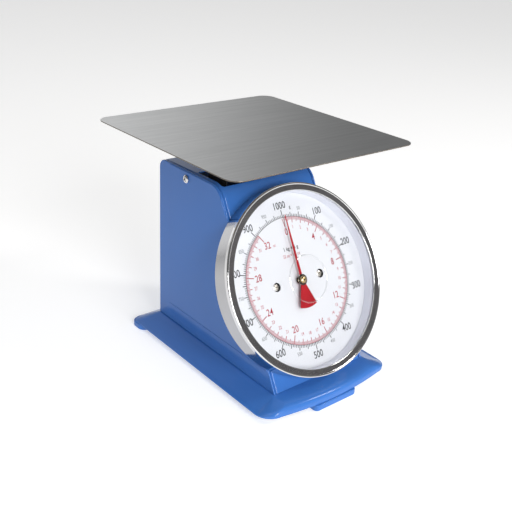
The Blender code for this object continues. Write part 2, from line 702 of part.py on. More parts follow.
def check_arm(name, pivot_z):
    """A stirrup that turns on the channel's pin and holds the bracket by slotted eyes."""
    x_rod(name + "_pin", PIN_RADIUS, -0.0375, 0.0375, ARM_PIVOT_Y, pivot_z, "steel")
    inner, sheet, web = 0.0330, 0.0020, 0.0102
    half_height, behind, ahead = 0.0050, 0.0060, 0.0055
    outer = inner + sheet
    # drawn from the pivot: -Y runs forward to the bracket
    front, cross = -ARM_LENGTH - ahead, -ARM_LENGTH + web
    outline = [(-outer, front), (-inner, front), (-inner, cross - 0.002),
               (inner, cross - 0.002), (inner, front), (outer, front), (outer, behind),
               (inner, behind), (inner, cross), (-inner, cross), (-inner, behind),
               (-outer, behind)]
    place = Matrix.Translation((0, ARM_PIVOT_Y, pivot_z)) @ Matrix.Rotation(-ARM_TILT, 4, 'X')
    arm = plate(name, outline, -half_height, half_height, "steel", place)
    along_x = Matrix.Rotation(pi / 2, 4, 'Y')
    cut(arm, rod("eye", PIN_RADIUS + GAP, -0.05, 0.05, "black", place @ along_x))
    height, length = PIN_RADIUS + 0.0004, PIN_RADIUS + 0.0012
    slot = rounded((-ARM_LENGTH - length, -height), (-ARM_LENGTH + length, height), 0.0012)
    cut(arm, plate("slot", slot, -0.05, 0.05, "black", place @ SIDE_FRAME))
    empty = axis_empty(name + "_pivot", (0, ARM_PIVOT_Y, pivot_z), (1, 0, 0))
    carry(empty, arm)


def load_pin_height(pivot_z):
    return pivot_z + ARM_LENGTH * sin(ARM_TILT)


def platform_bracket():
    """A strap bent down on both sides; its legs run through the slot in the housing."""
    web_top, foot = PLATFORM_TOP - PLATFORM_SHEET - 0.0015 - 2 * GAP, 0.054
    outer, sheet = LEG_INNER + LEG_SHEET, LEG_SHEET
    outline = [(-outer, foot), (-LEG_INNER, foot), (-LEG_INNER, web_top - sheet),
               (LEG_INNER, web_top - sheet), (LEG_INNER, foot), (outer, foot),
               (outer, web_top), (-outer, web_top)]
    made = plate("platform_bracket", outline, -COLUMN_Y - 0.015, -COLUMN_Y + 0.015, "black",
                 BACK_FRAME)
    for z in (UPPER_ARM_Z, LOWER_ARM_Z):
        cut(made, x_rod("leg_hole", PIN_RADIUS + GAP, -0.06, 0.06, COLUMN_Y,
                        load_pin_height(z), "black"))
    return made


def platform():
    half_x, half_y = PLATFORM_WIDTH / 2, PLATFORM_DEPTH / 2
    outline = rounded((-half_x, COLUMN_Y - half_y), (half_x, COLUMN_Y + half_y),
                      PLATFORM_CORNER, 6)
    return plate("platform", outline, PLATFORM_TOP - PLATFORM_SHEET, PLATFORM_TOP,
                 "stainless")


def platform_support():
    top = PLATFORM_TOP - PLATFORM_SHEET - GAP
    outline = rounded((-0.060, COLUMN_Y - 0.060), (0.060, COLUMN_Y + 0.060), 0.010)
    return plate("platform_support", outline, top - 0.0015, top, "steel")


def load_crossbar():
    """Joins the legs and reaches forward to lift the rack by its head."""
    x, bar, arm = LEG_INNER - GAP, (0.0035, 0.0095), (-0.0015, 0.0105)
    reach = -0.0290
    outline = [(-x, bar[0]), (arm[0], bar[0]), (arm[0], reach), (arm[1], reach),
               (arm[1], bar[0]), (x, bar[0]), (x, bar[1]), (-x, bar[1])]
    slot = [(0.0019, -0.0255), (0.0074, -0.0255), (0.0074, -0.0100), (0.0019, -0.0100)]
    return plate("load_crossbar", outline, 0.140, 0.143, "steel", holes=[slot])


def carriage():
    pieces = [platform(), platform_support(), platform_bracket(), load_crossbar()]
    bar = LEG_INNER - GAP
    pieces.append(x_rod("spring_bar", BAR_RADIUS, -bar, bar, COLUMN_Y, BAR_Z, "steel"))
    for level, pivot_z in (("upper", UPPER_ARM_Z), ("lower", LOWER_ARM_Z)):
        for side, x0, x1 in (("left", -0.0465, -0.0325), ("right", 0.0325, 0.0465)):
            pieces.append(x_rod(f"{level}_{side}_load_pin", PIN_RADIUS, x0, x1, COLUMN_Y,
                                load_pin_height(pivot_z), "steel"))
    top = BAR_Z - BAR_RADIUS - GAP
    profile = [(0, top), (0.0015, top), (0.0015, 0.029), (0.0087, 0.029), (0.0087, 0.026),
               (0, 0.026)]
    pieces.append(turned("damper_piston", profile, "brass",
                         Matrix.Translation((0, COLUMN_Y, 0)), 32, closed=False))
    carry(axis_empty("platform_travel_axis", (0, COLUMN_Y, PLATFORM_TOP)), *pieces)


def damper_cup():
    """An open cup on the bottom plate; the piston in it settles the hand."""
    low = BASE_EDGE + PLATE_THICKNESS + GAP
    rim, wall, floor = 0.0105, 0.0090, low + 0.0015
    top = BAR_Z - BAR_RADIUS - TRAVEL - 0.0015      # the bar stops short of it at full load
    profile = [(0, floor), (wall, floor), (wall, top), (rim, top), (rim, low), (0, low)]
    return turned("damper_cup", profile, "steel", Matrix.Translation((0, COLUMN_Y, 0)), 28,
                  closed=False)


# ---------------------------------------------------------------- springs and zero adjuster
def spring_points(x):
    """A helix between two hooks, from the bar on the carriage to the hanger above."""
    turns, per_turn = 8, 8
    hook = BAR_RADIUS + SPRING_WIRE + 0.0005
    low, high = BAR_Z + hook + 0.005, HANGER_Z - hook - 0.005
    lower = [(x, COLUMN_Y + hook * sin(t), BAR_Z - hook * cos(t))
             for t in (radians(a) for a in (-60, -20, 20, 60, 100, 135))]
    lower.append((x, COLUMN_Y, BAR_Z + hook + 0.0018))
    coil = []
    for i in range(turns * per_turn + 1):
        t = 2 * pi * i / per_turn
        coil.append((x + SPRING_RADIUS * cos(t), COLUMN_Y + SPRING_RADIUS * sin(t),
                     low + (high - low) * i / (turns * per_turn)))
    upper = [(x, COLUMN_Y, HANGER_Z - hook - 0.0018)]
    upper += [(x, COLUMN_Y + hook * sin(t), HANGER_Z + hook * cos(t))
              for t in (radians(a) for a in (135, 100, 60, 20, -20, -60))]
    return lower + coil + upper


def springs_and_adjuster():
    knob_low = 0.1883 + GAP
    flutes, outer, step = 24, 0.0110, 0.0005
    outline = [((outer - step * (i % 2)) * cos(pi * i / flutes),
                (outer - step * (i % 2)) * sin(pi * i / flutes)) for i in range(2 * flutes)]
    at_column = Matrix.Translation((0, COLUMN_Y, 0))
    knob = plate("zero_knob", outline, knob_low, knob_low + 0.009, "black", at_column,
                 [circle((0, 0), 0.0028, 20)])
    carry(axis_empty("zero_knob_axis", (0, COLUMN_Y, knob_low)), knob)
    hanger = x_rod("spring_hanger", BAR_RADIUS, -0.024, 0.024, COLUMN_Y, HANGER_Z, "steel")
    stud = rod("stud", 0.0024, HANGER_Z, 0.203, "steel", at_column)
    cut(hanger, stud, 'UNION')
    springs = [wire(name, spring_points(x), SPRING_WIRE, "steel")
               for name, x in (("left_spring", -SPRING_X), ("right_spring", SPRING_X))]
    carry(axis_empty("hanger_axis", (0, COLUMN_Y, HANGER_Z)), hanger, *springs)


# ---------------------------------------------------------------- assembly
def build():
    base_shell()
    bottom_plate()
    feet()
    side_panel("left_side_panel", -1)
    side_panel("right_side_panel", 1)
    front_panel()
    rear_cover()
    housing_screws()
    dial_case()
    bezel()
    lens()
    dial_ring()
    dial_plate()
    dial_screws()
    movement()
    inner_frame()
    frame_cap()
    check_arm("upper_arm", UPPER_ARM_Z)
    check_arm("lower_arm", LOWER_ARM_Z)
    damper_cup()
    carriage()
    springs_and_adjuster()
    hand = (pointer(), *pointer_hub(), *pointer_drive())
    carry(axis_empty("pointer_axis", DIAL_CENTRE, -DIAL_NORMAL), *hand)
    carry(axis_empty("rack_axis", DIAL_CENTRE, -DIAL_UP), rack())


build()
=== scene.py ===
import json
from math import cos, pi, radians, sin, tan

import bmesh
import bpy
from mathutils import Matrix, Vector

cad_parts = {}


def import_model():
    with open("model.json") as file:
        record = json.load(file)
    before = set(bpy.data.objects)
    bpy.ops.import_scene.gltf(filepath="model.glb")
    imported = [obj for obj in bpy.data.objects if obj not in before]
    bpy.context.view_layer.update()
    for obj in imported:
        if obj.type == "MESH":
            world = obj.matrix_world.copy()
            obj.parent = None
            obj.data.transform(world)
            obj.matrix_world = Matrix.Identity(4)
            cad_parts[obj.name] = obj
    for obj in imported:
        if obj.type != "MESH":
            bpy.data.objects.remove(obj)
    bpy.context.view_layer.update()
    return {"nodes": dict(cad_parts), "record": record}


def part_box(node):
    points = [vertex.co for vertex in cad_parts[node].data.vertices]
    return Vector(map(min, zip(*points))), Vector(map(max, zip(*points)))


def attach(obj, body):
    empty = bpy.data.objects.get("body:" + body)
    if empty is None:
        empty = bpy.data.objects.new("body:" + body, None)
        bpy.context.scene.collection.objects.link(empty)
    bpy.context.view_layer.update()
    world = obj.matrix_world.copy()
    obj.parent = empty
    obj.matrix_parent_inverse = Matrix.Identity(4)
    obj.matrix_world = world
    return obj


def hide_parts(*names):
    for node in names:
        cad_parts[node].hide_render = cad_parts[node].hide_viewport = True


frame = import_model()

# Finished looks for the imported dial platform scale. Everything is in metres, in the packed
# model's own frame: +Z up, the dial faces -Y, +X on the right of someone reading the dial.


# ---------------------------------------------------------------- places taken from the model
GAP = 0.0003                    # between pieces that lie on each other
DIAL_TILT = radians(28.4)
DIAL_CENTRE = Vector((0.0, -0.0668, 0.112))
# Frames that flat outlines and turned profiles are drawn in; their third axis is the thickness
DIAL = Matrix.Translation(DIAL_CENTRE) @ Matrix.Rotation(pi / 2 - DIAL_TILT, 4, 'X')
SIDE_FRAME = Matrix(((0, 0, 1, 0), (1, 0, 0, 0), (0, 1, 0, 0), (0, 0, 0, 1)))
BACK_FRAME = Matrix(((1, 0, 0, 0), (0, 0, -1, 0), (0, 1, 0, 0), (0, 0, 0, 1)))

side_low, side_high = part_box("right_side_panel")
FIELD_RISE = 0.0007             # the raised field on each side stands this proud of it
BODY_HALF = side_high.x - FIELD_RISE
BODY_REAR, BODY_TOP, BODY_BOTTOM = side_high.y, side_high.z, side_low.z
SIDE_SHEET, COVER_SHEET = 0.0022, 0.0010
PANEL_HALF = BODY_HALF - SIDE_SHEET - GAP
PANEL_DEPTH = -0.0070           # height of the front panel over the dial's face
FRONT_ROUND, REAR_ROUND = 0.022, 0.010
FRONT_CORNERS = 1.9             # radius of the base's front corners over its rear ones

ROUND_STEPS = 224               # sides of the dial's large round pieces
BAND_MIDDLE, BAND_REACH = 0.0946, 0.0023    # the bezel's flat band, from the dial's axis
RIB_RADIUS = 0.0241             # the circle moulded in the clear cover
WINDOW_X = 0.0298               # the face's two windows, each over a screw of the case
FACE_BACK = -0.0056


# ---------------------------------------------------------------- shader helpers
def feed(tree, socket, value):
    """Give a socket a value, or the output of another node."""
    if isinstance(value, bpy.types.NodeSocket):
        tree.links.new(value, socket)
    else:
        socket.default_value = value


def new_material(name, colour, metallic, roughness, **sockets):
    """A Principled material; further sockets are named with _ for each space."""
    made = bpy.data.materials.new(name)
    made.use_nodes = True
    shader = made.node_tree.nodes["Principled BSDF"]
    shader.inputs["Base Color"].default_value = (*colour, 1)
    shader.inputs["Metallic"].default_value = metallic
    shader.inputs["Roughness"].default_value = roughness
    for key, value in sockets.items():
        shader.inputs[key.replace("_", " ")].default_value = value
    return made, made.node_tree, shader


def noise(tree, scale, stretch=(1, 1, 1), detail=3.0):
    """A noise factor on object coordinates; a large stretch gives fine lines across that axis."""
    place = tree.nodes.new("ShaderNodeTexCoord")
    sizing = tree.nodes.new("ShaderNodeMapping")
    sizing.inputs["Scale"].default_value = stretch
    made = tree.nodes.new("ShaderNodeTexNoise")
    made.inputs["Scale"].default_value = scale
    made.inputs["Detail"].default_value = detail
    tree.links.new(place.outputs["Object"], sizing.inputs["Vector"])
    tree.links.new(sizing.outputs["Vector"], made.inputs["Vector"])
    return made.outputs["Fac"]


def maths(tree, operation, *values):
    """The result of a maths node on numbers and outputs."""
    made = tree.nodes.new("ShaderNodeMath")
    made.operation = operation
    for socket, value in zip(made.inputs, values):
        feed(tree, socket, value)
    return made.outputs[0]


def remap(tree, value, from_low, from_high, low, high):
    """A value carried from one range to another, and held at the ends."""
    made = tree.nodes.new("ShaderNodeMapRange")
    for socket, level in (("Value", value), ("From Min", from_low), ("From Max", from_high),
                          ("To Min", low), ("To Max", high)):
        feed(tree, made.inputs[socket], level)
    return made.outputs["Result"]


def spread(tree, factor, low, high):
    """A noise factor, which mostly stays between 0.3 and 0.7, carried to a range."""
    return remap(tree, factor, 0.3, 0.7, low, high)


def tint(tree, factor, first, second):
    """A mix of two colours, each three numbers or a node's output."""
    made = tree.nodes.new("ShaderNodeMix")
    made.data_type = 'RGBA'
    for socket, colour in ((made.inputs[6], first), (made.inputs[7], second)):
        feed(tree, socket, (*colour, 1) if isinstance(colour, tuple) else colour)
    tree.links.new(factor, made.inputs[0])
    return made.outputs[2]


def bump(tree, shader, factor, strength, depth):
    """Shade the surface as if the factor raised it by up to the depth."""
    made = tree.nodes.new("ShaderNodeBump")
    made.inputs["Strength"].default_value = strength
    made.inputs["Distance"].default_value = depth
    tree.links.new(factor, made.inputs["Height"])
    tree.links.new(made.outputs["Normal"], shader.inputs["Normal"])


def varied(name, first, second, metallic, rough, grain, texture=None, stretch=(1, 1, 1), **extra):
    """A material whose colour drifts between two tones; its roughness follows a finer grain."""
    made, tree, shader = new_material(name, first, metallic, sum(rough) / 2, **extra)
    drift = spread(tree, noise(tree, grain[0], stretch, 2.0), 0.0, 1.0)
    tree.links.new(tint(tree, drift, first, second), shader.inputs["Base Color"])
    fine = noise(tree, grain[1], stretch)
    tree.links.new(spread(tree, fine, *rough), shader.inputs["Roughness"])
    if texture:
        bump(tree, shader, fine, *texture)
    return made


def from_axis(tree):
    """Distance from the dial's axis."""
    place = tree.nodes.new("ShaderNodeTexCoord").outputs["Object"]
    for operation, value in (('SUBTRACT', DIAL_CENTRE), ('CROSS_PRODUCT', DIAL.col[2].xyz)):
        step = tree.nodes.new("ShaderNodeVectorMath")
        step.operation = operation
        step.inputs[1].default_value = value
        tree.links.new(place, step.inputs[0])
        place = step.outputs["Vector"]
    size = tree.nodes.new("ShaderNodeVectorMath")
    size.operation = 'LENGTH'
    tree.links.new(place, size.inputs[0])
    return size.outputs["Value"]


def banded(tree, value, middle, reach, soft):
    """1 within reach of the middle value, fading to 0 over the soft distance."""
    offset = maths(tree, 'ABSOLUTE', maths(tree, 'SUBTRACT', value, middle))
    return remap(tree, offset, reach, reach + soft, 1.0, 0.0)


def bezel_chrome():
    """Bright rolled edges, with a flat band between them painted darker grey and made rougher: a
    painted dark reflection.
    """
    bright, smooth, band_roughness = (0.72, 0.72, 0.72), 0.06, 0.16
    made, tree, shader = new_material("bezel_chrome", bright, 1.0, smooth)
    band = banded(tree, from_axis(tree), BAND_MIDDLE, BAND_REACH, 0.0004)
    # The flat band is painted darker grey than the rolled edges, with a little noise in its tone:
    # painted dark reflection
    cloud = spread(tree, noise(tree, 90), 0.0, 1.0)
    painted_dark_band = tint(tree, cloud, (0.50, 0.48, 0.49), (0.42, 0.41, 0.43))
    tree.links.new(tint(tree, band, bright, painted_dark_band), shader.inputs["Base Color"])
    tree.links.new(remap(tree, band, 0.0, 1.0, smooth, band_roughness), shader.inputs["Roughness"])
    return made


def platform_steel():
    """Brushed sheet; its edge and the turn under it, which face away from up, are painted dark
    brownish: painted shade.
    """
    across = (1, 28, 1)         # the brush lines run along X
    made, tree, shader = new_material("brushed_stainless", (0.6, 0.6, 0.6), 1.0, 0.36)
    drift = spread(tree, noise(tree, 9, across, 2.0), 0.0, 1.0)
    face = tint(tree, drift, (0.565, 0.575, 0.58), (0.625, 0.635, 0.64))
    # Faces that turn away from up fade to dark brownish: painted shade on the edge and the
    # underside
    facing = tree.nodes.new("ShaderNodeSeparateXYZ")
    tree.links.new(tree.nodes.new("ShaderNodeTexCoord").outputs["Normal"], facing.inputs[0])
    upward = remap(tree, facing.outputs["Z"], 0.60, 0.95, 0.0, 1.0)
    tree.links.new(tint(tree, upward, (0.20, 0.175, 0.15), face), shader.inputs["Base Color"])
    fine = noise(tree, 55, across)
    tree.links.new(spread(tree, fine, 0.30, 0.42), shader.inputs["Roughness"])
    bump(tree, shader, fine, 0.10, 0.00002)
    return made


def clear_cover():
    """Clear acrylic: it mirrors more at a glance, and its moulded circle is slightly hazed."""
    made = bpy.data.materials.new("clear_acrylic")
    made.use_nodes = True
    tree = made.node_tree
    tree.nodes.clear()
    output = tree.nodes.new("ShaderNodeOutputMaterial")
    mixed = tree.nodes.new("ShaderNodeMixShader")
    seen = tree.nodes.new("ShaderNodeBsdfTransparent")
    seen.inputs["Color"].default_value = (0.985, 0.99, 0.995, 1)
    gloss = tree.nodes.new("ShaderNodeBsdfPrincipled")
    gloss.inputs["Base Color"].default_value = (0.95, 0.96, 0.97, 1)
    gloss.inputs["Metallic"].default_value = 1.0
    tree.links.new(spread(tree, noise(tree, 60), 0.03, 0.07), gloss.inputs["Roughness"])
    edge = tree.nodes.new("ShaderNodeLayerWeight")
    edge.inputs["Blend"].default_value = 0.12
    share = remap(tree, edge.outputs["Fresnel"], 0.0, 1.0, 0.012, 0.55)
    rib = banded(tree, from_axis(tree), RIB_RADIUS, 0.0004, 0.0008)
    tree.links.new(maths(tree, 'MULTIPLY_ADD', rib, 0.16, share), mixed.inputs[0])
    tree.links.new(seen.outputs[0], mixed.inputs[1])
    tree.links.new(gloss.outputs[0], mixed.inputs[2])
    tree.links.new(mixed.outputs[0], output.inputs["Surface"])
    return made


LOOKS = {
    "blue_paint": varied("blue_enamel", (0.045, 0.170, 0.530), (0.050, 0.182, 0.555), 0.0,
                         (0.18, 0.23), (7, 380), (0.012, 0.00002), Coat_Weight=0.22,
                         Coat_Roughness=0.05, Specular_IOR_Level=0.22),
    "stainless": platform_steel(),
    "chrome": varied("polished_chrome", (0.70, 0.70, 0.70), (0.66, 0.66, 0.665), 1.0,
                     (0.035, 0.075), (18, 240)),
    "clear_lens": clear_cover(),
    "dial_white": varied("white_enamel", (0.745, 0.75, 0.775), (0.73, 0.735, 0.765), 0.0,
                         (0.34, 0.42), (14, 500)),
    "white_plastic": varied("white_plastic", (0.84, 0.85, 0.92), (0.80, 0.81, 0.89), 0.0,
                            (0.30, 0.38), (20, 400)),
    "pointer_red": varied("red_lacquer", (0.42, 0.006, 0.014), (0.36, 0.004, 0.011), 0.0,
                          (0.46, 0.56), (60, 600), Specular_IOR_Level=0.2),
    "brass": varied("turned_brass", (0.60, 0.47, 0.25), (0.50, 0.38, 0.19), 1.0,
                    (0.14, 0.26), (120, 900)),
    "plated_steel": varied("zinc_plate", (0.46, 0.47, 0.49), (0.36, 0.37, 0.39), 1.0,
                           (0.30, 0.50), (60, 320), (0.10, 0.00003)),
    "dark_steel": varied("dark_steel", (0.26, 0.23, 0.20), (0.17, 0.15, 0.13), 1.0,
                         (0.16, 0.26), (90, 600)),
    "spring_steel": varied("oiled_wire", (0.26, 0.26, 0.27), (0.18, 0.18, 0.19), 1.0,
                           (0.26, 0.40), (160, 900)),
    "black_paint": varied("satin_black", (0.018, 0.018, 0.020), (0.026, 0.026, 0.028), 0.0,
                          (0.36, 0.48), (30, 500), (0.08, 0.00004)),
    "black_plastic": varied("black_plastic", (0.020, 0.020, 0.021), (0.030, 0.030, 0.031), 0.0,
                            (0.42, 0.56), (60, 800), (0.15, 0.00005)),
}
CASE_CHROME = varied("case_chrome", (0.50, 0.50, 0.515), (0.44, 0.44, 0.45), 1.0, (0.08, 0.14),
                     (14, 200))
BEZEL_CHROME = bezel_chrome()
SCREW_HEAD = varied("nickel_screw", (0.74, 0.71, 0.66), (0.60, 0.56, 0.50), 1.0, (0.30, 0.42),
                    (160, 900))
INKS = {
    "black": varied("black_ink", (0.012, 0.013, 0.016), (0.022, 0.024, 0.028), 0.0,
                    (0.70, 0.80), (160, 900)),
    "grey": varied("grey_ink", (0.17, 0.18, 0.19), (0.23, 0.24, 0.25), 0.0,
                   (0.70, 0.80), (160, 900)),
    "red": varied("red_ink", (0.36, 0.020, 0.040), (0.43, 0.035, 0.055), 0.0,
                  (0.70, 0.80), (160, 900)),
    "pale_red": varied("pale_red_ink", (0.44, 0.060, 0.085), (0.50, 0.090, 0.115), 0.0,
                       (0.70, 0.80), (160, 900)),
}


# ---------------------------------------------------------------- modelling helpers
def arc(centre, radius, start, end, steps):
    """Points round a centre, from one angle in degrees to another."""
    turns = [radians(start + (end - start) * i / steps) for i in range(steps + 1)]
    return [(centre[0] + radius * cos(t), centre[1] + radius * sin(t)) for t in turns]


def circle(centre, radius, count):
    """A closed circle of points."""
    return arc(centre, radius, 0, 360 - 360 / count, count - 1)


def rounded(low, high, radius, steps=12):
    """A rectangle with round corners."""
    (x0, y0), (x1, y1) = low, high
    return (arc((x1 - radius, y0 + radius), radius, -90, 0, steps)
            + arc((x1 - radius, y1 - radius), radius, 0, 90, steps)
            + arc((x0 + radius, y1 - radius), radius, 90, 180, steps)
            + arc((x0 + radius, y0 + radius), radius, 180, 270, steps))


def put(name, mesh, look, smooth=35):
    """Link a mesh, which is already in the model's frame, as one shown piece."""
    made = bpy.data.objects.new(name, mesh)
    bpy.context.scene.collection.objects.link(made)
    mesh.materials.clear()
    mesh.materials.append(look)
    mesh.shade_smooth()
    mesh.set_sharp_from_angle(angle=radians(smooth))
    return made


def even(made):
    """Shade by face area, so that flat faces stay flat beside their rounded edges."""
    step = made.modifiers.new("normals", 'WEIGHTED_NORMAL')
    step.keep_sharp = True
    return made


def tidied(mesh, matrix=None):
    """The mesh with its points welded and its faces turned outwards, then placed."""
    solid = bmesh.new()
    solid.from_mesh(mesh)
    bmesh.ops.remove_doubles(solid, verts=solid.verts, dist=2e-7)
    bmesh.ops.recalc_face_normals(solid, faces=solid.faces)
    if matrix is not None:
        bmesh.ops.transform(solid, matrix=matrix, verts=solid.verts)
    solid.to_mesh(mesh)
    solid.free()
    return mesh


def shape_of(made):
    """The mesh that an object's curve or modifiers make; the object itself goes."""
    graph = bpy.context.evaluated_depsgraph_get()
    mesh = bpy.data.meshes.new_from_object(made.evaluated_get(graph))
    bpy.data.objects.remove(made)
    return mesh


def slab_mesh(name, outline, low, high, edge, matrix=None, holes=(), rounds=3):
    """A flat outline with holes, from low to high, its edges rounded."""
    curve = bpy.data.curves.new(name, 'CURVE')
    curve.dimensions = '2D'
    curve.fill_mode = 'BOTH'
    curve.extrude = (high - low) / 2 - edge
    curve.bevel_depth = edge
    curve.bevel_resolution = rounds
    curve.offset = -edge
    for loop in (outline, *holes):
        spline = curve.splines.new('POLY')
        spline.points.add(len(loop) - 1)
        spline.use_cyclic_u = True
        for point, (x, y) in zip(spline.points, loop):
            point.co = (x, y, 0, 1)
    guide = bpy.data.objects.new(name, curve)
    bpy.context.scene.collection.objects.link(guide)
    mesh = shape_of(guide)
    mesh.transform(Matrix.Translation((0, 0, (low + high) / 2)))
    return tidied(mesh, matrix)


def revolved_mesh(name, profile, matrix, steps, closed=True):
    """Turn (radius, height) points about the third axis of a matrix."""
    verts, rows, faces = [], [], []
    for radius, height in profile:
        if radius < 1e-9:
            rows.append([len(verts)] * steps)
            verts.append((0, 0, height))
            continue
        rows.append(list(range(len(verts), len(verts) + steps)))
        verts += [(radius * cos(2 * pi * i / steps), radius * sin(2 * pi * i / steps), height)
                  for i in range(steps)]
    pairs = list(zip(rows, rows[1:])) + ([(rows[-1], rows[0])] if closed else [])
    for first, second in pairs:
        for i in range(steps):
            j = (i + 1) % steps
            corners = [first[i], second[i], second[j], first[j]]
            corners = [c for k, c in enumerate(corners) if c not in corners[:k]]
            if len(corners) > 2:
                faces.append(corners)
    mesh = bpy.data.meshes.new(name)
    mesh.from_pydata(verts, [], faces)
    return tidied(mesh, matrix)


def grid_mesh(name, rows, loop):
    """A surface through rows of points; with loop, each row closes on itself."""
    mesh = bpy.data.meshes.new(name)
    count = len(rows[0])
    reach = count if loop else count - 1
    faces = [(k * count + i, (k + 1) * count + i, (k + 1) * count + (i + 1) % count,
              k * count + (i + 1) % count)
             for k in range(len(rows) - 1) for i in range(reach)]
    mesh.from_pydata([p for row in rows for p in row], [], faces)
    return mesh


def sheeted(made):
    """Give an open surface the thickness of its sheet, inwards."""
    step = made.modifiers.new("sheet", 'SOLIDIFY')
    step.thickness = COVER_SHEET
    step.offset = -1
    step.use_even_offset = True
    bpy.context.view_layer.update()
    name, look = made.name, made.data.materials[0]
    return put(name, shape_of(made), look)


def combined(made, other, operation):
    """Boolean another mesh into a piece, and keep the result as plain mesh."""
    tool = bpy.data.objects.new("tool", other)
    bpy.context.scene.collection.objects.link(tool)
    step = made.modifiers.new("join", 'BOOLEAN')
    step.operation = operation
    step.solver = 'EXACT'
    step.object = tool
    bpy.context.view_layer.update()
    name, look = made.name, made.data.materials[0]
    mesh = shape_of(made)
    bpy.data.objects.remove(tool)
    return put(name, tidied(mesh), look)


def shows(made, body, slot, *nodes):
    """The piece rides on a body and stands for these CAD nodes, which it hides; slot is not used.
    """
    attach(made, body)
    if nodes:
        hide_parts(*nodes)
    return made


def smoothed(rows, parts):
    """Rows of numbers with Catmull-Rom rows between them; the ends keep their own slope."""
    out = []
    for k in range(len(rows) - 1):
        a, b, c, d = (rows[max(k - 1, 0)], rows[k], rows[k + 1], rows[min(k + 2, len(rows) - 1)])
        for i in range(parts):
            t = i / parts
            out.append(tuple(0.5 * (2 * q + (r - p) * t + (2 * p - 5 * q + 4 * r - s) * t * t
                                    + (3 * q - p - 3 * r + s) * t ** 3)
                             for p, q, r, s in zip(a, b, c, d)))
    return out + [rows[-1]]


# ---------------------------------------------------------------- base
def base_ring(half, rear, front, bow, corner, side_z, front_z):
    """One ring of the base cover: straight sides and rear, bowed front, round corners.

    The front edge may stand at another height than the sides; its corners, which are
    rounder than the rear ones, blend the two.
    """
    steps, front_steps = 12, 24
    turn = FRONT_CORNERS * corner
    ring, reach, inner = [], half - turn, half - corner
    for i in range(1, front_steps):
        x = -reach + 2 * reach * i / front_steps
        ring.append((x, front - bow * (1 - (x / reach) ** 2), front_z))
    corners = ((reach, front + turn, turn, -90, 1, 0), (inner, rear - corner, corner, 0, 0, 0),
               (-inner, rear - corner, corner, 90, 0, 0), (-reach, front + turn, turn, 180, 0, 1))
    for cx, cy, radius, start, weight_from, weight_to in corners:
        for i, (x, y) in enumerate(arc((cx, cy), radius, start, start + 90, steps)):
            weight = weight_from + (weight_to - weight_from) * i / steps
            ring.append((x, y, side_z + (front_z - side_z) * weight))
    return ring


def base():
    """The pressed cover and its three feet."""
    low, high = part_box("base_shell")
    half, rear, edge, top = high.x, high.y, low.z, high.z
    # half width, rear, front at the corners, bow, corner radius, side height, front height
    lip = (0.0580, 0.0988, -0.1050, 0.0000, 0.003, top, top)
    slope = [
        (0.0628, 0.1002, -0.1099, 0.0000, 0.003, top, top),
        (0.0648, 0.1022, -0.1130, 0.0005, 0.004, 0.0178, 0.0184),
        (0.0680, 0.1050, -0.1190, 0.0030, 0.005, 0.0163, 0.0180),
        (0.0760, 0.1115, -0.1240, 0.0050, 0.008, 0.0128, 0.0170),
        (0.0830, 0.1165, -0.1273, 0.0062, 0.009, 0.0098, 0.0150),
        (half, rear, -0.1290, 0.0064, 0.010, 0.0083, 0.0112),
    ]
    foot = (half, rear, -0.1290, 0.0064, 0.010, edge, edge)
    sections = [lip, *smoothed(slope, 4), foot]
    mesh = grid_mesh("base_cover", [base_ring(*row) for row in sections], True)
    made = even(sheeted(put("base_cover", mesh, LOOKS["blue_paint"])))
    shows(made, "housing", "blue_paint", "base_shell")

    low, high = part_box("front_foot")
    front = rounded((-0.029, low.y), (0.029, -0.116), 0.005)
    rear_right = rounded((0.062, 0.097), (0.0886, 0.1216), 0.009)
    rear_left = [(-x, y) for x, y in reversed(rear_right)]
    for name, outline in (("front_foot", front), ("rear_right_foot", rear_right),
                          ("rear_left_foot", rear_left)):
        mesh = slab_mesh(name, outline, 0.0, high.z, 0.0012, rounds=4)
        made = even(put(name + "_pad", mesh, LOOKS["blue_paint"]))
        shows(made, "housing", "blue_paint", name)


# ---------------------------------------------------------------- housing
def front_y(z):
    """Y of the sloping front at a height."""
    return DIAL_CENTRE.y - PANEL_DEPTH / cos(DIAL_TILT) + (z - DIAL_CENTRE.z) * tan(DIAL_TILT)


def front_arc(radius):
    """The turn from the sloping front to the level top, in (Y, Z)."""
    reach = FRONT_ROUND * tan((pi / 2 - DIAL_TILT) / 2)
    centre = (front_y(BODY_TOP) + reach, BODY_TOP - FRONT_ROUND)
    return arc(centre, radius, 180 - DIAL_TILT * 180 / pi, 90, 28)


def housing_profile():
    """Side view of the housing from the foot of the front panel to the top of the rear."""
    rear_centre = (BODY_REAR - REAR_ROUND, BODY_TOP - REAR_ROUND)
    return ([(front_y(BODY_BOTTOM), BODY_BOTTOM)] + front_arc(FRONT_ROUND)
            + arc(rear_centre, REAR_ROUND, 90, 0, 16))


